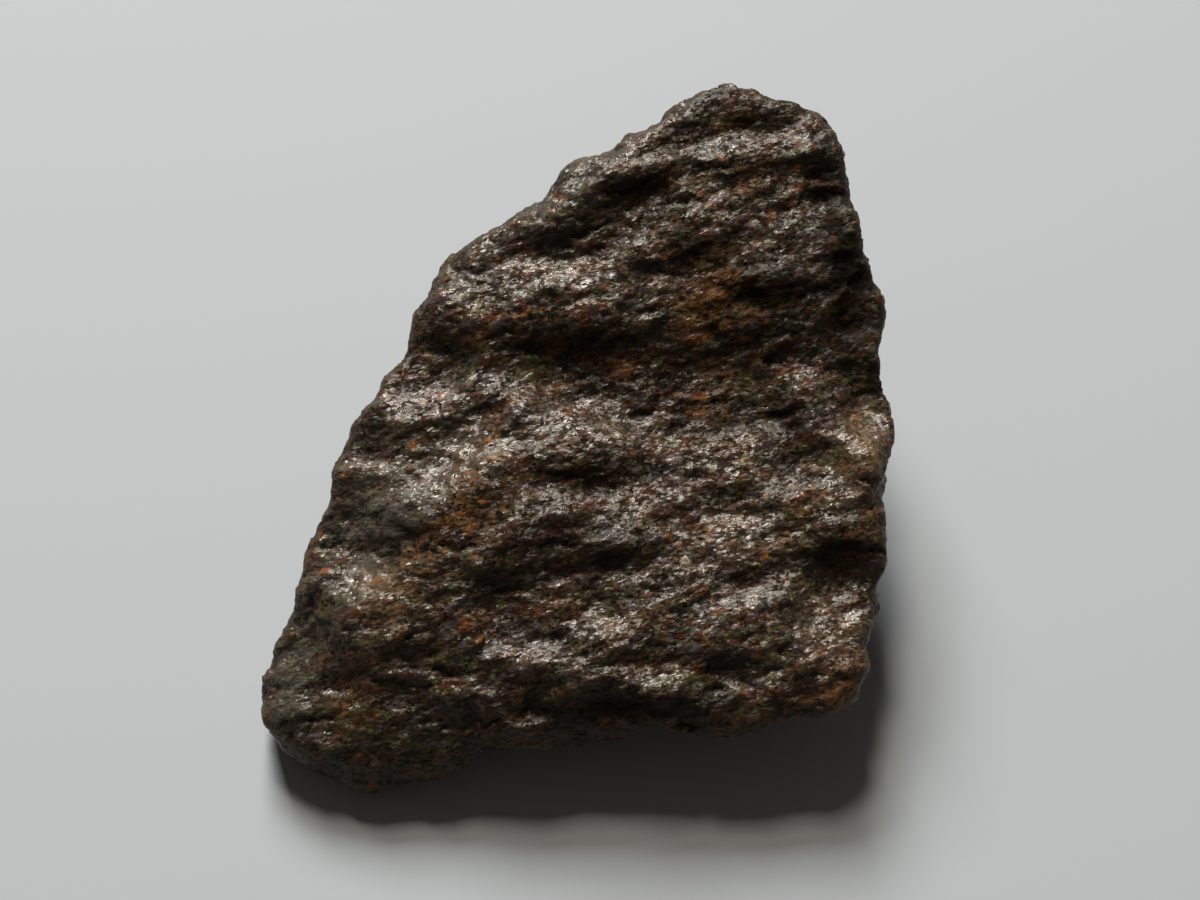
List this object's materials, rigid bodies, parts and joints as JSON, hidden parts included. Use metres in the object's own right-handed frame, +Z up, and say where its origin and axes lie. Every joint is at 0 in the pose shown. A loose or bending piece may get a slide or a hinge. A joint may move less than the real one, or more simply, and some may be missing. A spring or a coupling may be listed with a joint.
{
  "type": "chondrite meteorite",
  "caption": "Dark brown stony meteorite: a weathered, broken, wedge-shaped fragment with a rough ledged face, resting on a small flat spot.",
  "frame": {"origin": "on the resting surface, under the middle of the stone's bounding box", "axes": "+Z up from the foot; the broad ledged face leans towards -Y and rises towards +Y; +X to its right"},
  "size_m": [0.0444, 0.0458, 0.0232],
  "materials": {
    "crust": "weathered, semi-gloss, with rust stains"
  },
  "bodies": {
    "root": {"stone": "crust"}
  },
  "joints": []
}
